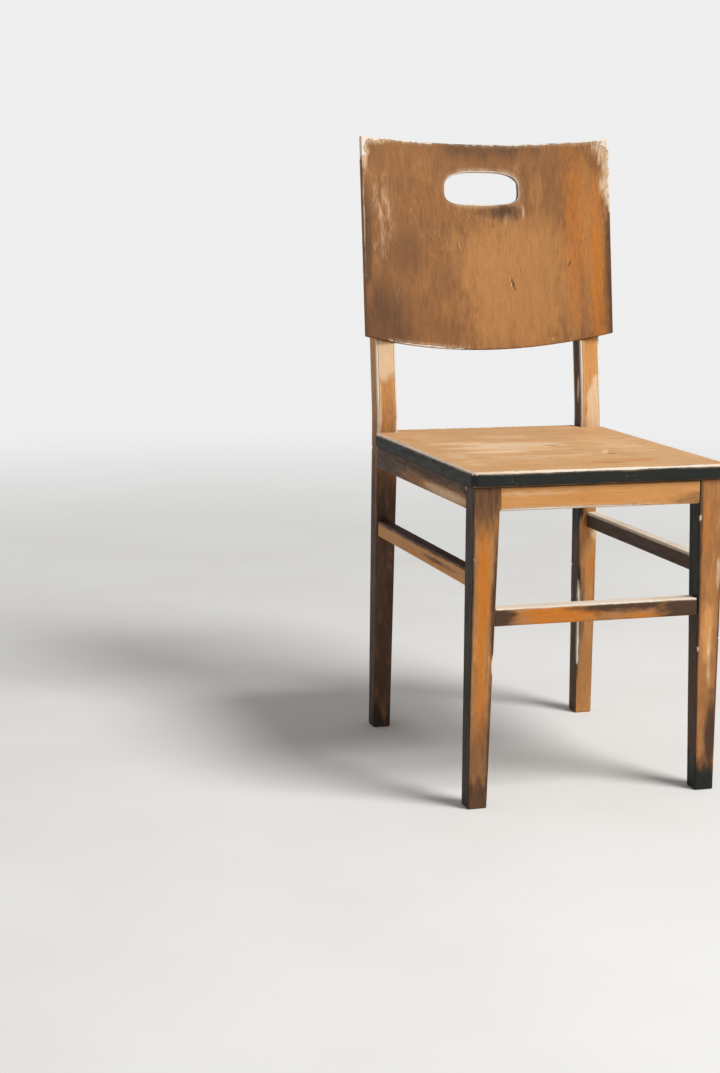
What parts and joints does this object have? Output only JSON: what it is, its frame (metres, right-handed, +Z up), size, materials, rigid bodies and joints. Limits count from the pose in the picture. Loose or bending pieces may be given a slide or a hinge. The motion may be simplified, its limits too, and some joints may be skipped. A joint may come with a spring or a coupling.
{
  "type": "wooden chair",
  "caption": "Wooden frame chair with worn ochre paint, flat seat, low aprons, stretchers and a bent plywood back with a hand slot.",
  "frame": {"origin": "on the floor, under the middle of the chair's bounding box", "axes": "+Z up, -Y to the front where the sitter faces, +X to the right as seen from the front"},
  "size_m": [0.391, 0.5033, 0.8807],
  "materials": {
    "frame_paint": "ochre brush paint over a cream ground, smeared dark brown and worn to the ground at the arrises",
    "seat_paint": "golden tan brush paint with a dark painted edge and cream arrises",
    "back_paint": "ochre brush paint on bent plywood, cream at the corners and round the slot",
    "bare_wood": "bare sawn wood",
    "screw_steel": "dull steel"
  },
  "bodies": {
    "root": {"front_leg_left": "frame_paint", "front_leg_right": "frame_paint", "rear_leg_left": "frame_paint", "rear_leg_right": "frame_paint", "front_apron": "frame_paint", "rear_apron": "frame_paint", "left_apron": "frame_paint", "right_apron": "frame_paint", "front_stretcher": "frame_paint", "left_stretcher": "frame_paint", "right_stretcher": "frame_paint", "seat_panel": "seat_paint", "backrest_panel": "back_paint", "corner_block_front_left": "bare_wood", "corner_block_front_right": "bare_wood", "corner_block_rear_left": "bare_wood", "corner_block_rear_right": "bare_wood", "back_screw_1": "screw_steel", "back_screw_2": "screw_steel", "back_screw_3": "screw_steel", "back_screw_4": "screw_steel", "seat_screw_1": "screw_steel", "seat_screw_2": "screw_steel", "seat_screw_3": "screw_steel", "seat_screw_4": "screw_steel", "block_screw_1": "screw_steel", "block_screw_2": "screw_steel", "block_screw_3": "screw_steel", "block_screw_4": "screw_steel", "block_screw_5": "screw_steel", "block_screw_6": "screw_steel", "block_screw_7": "screw_steel", "block_screw_8": "screw_steel"}
  },
  "joints": []
}
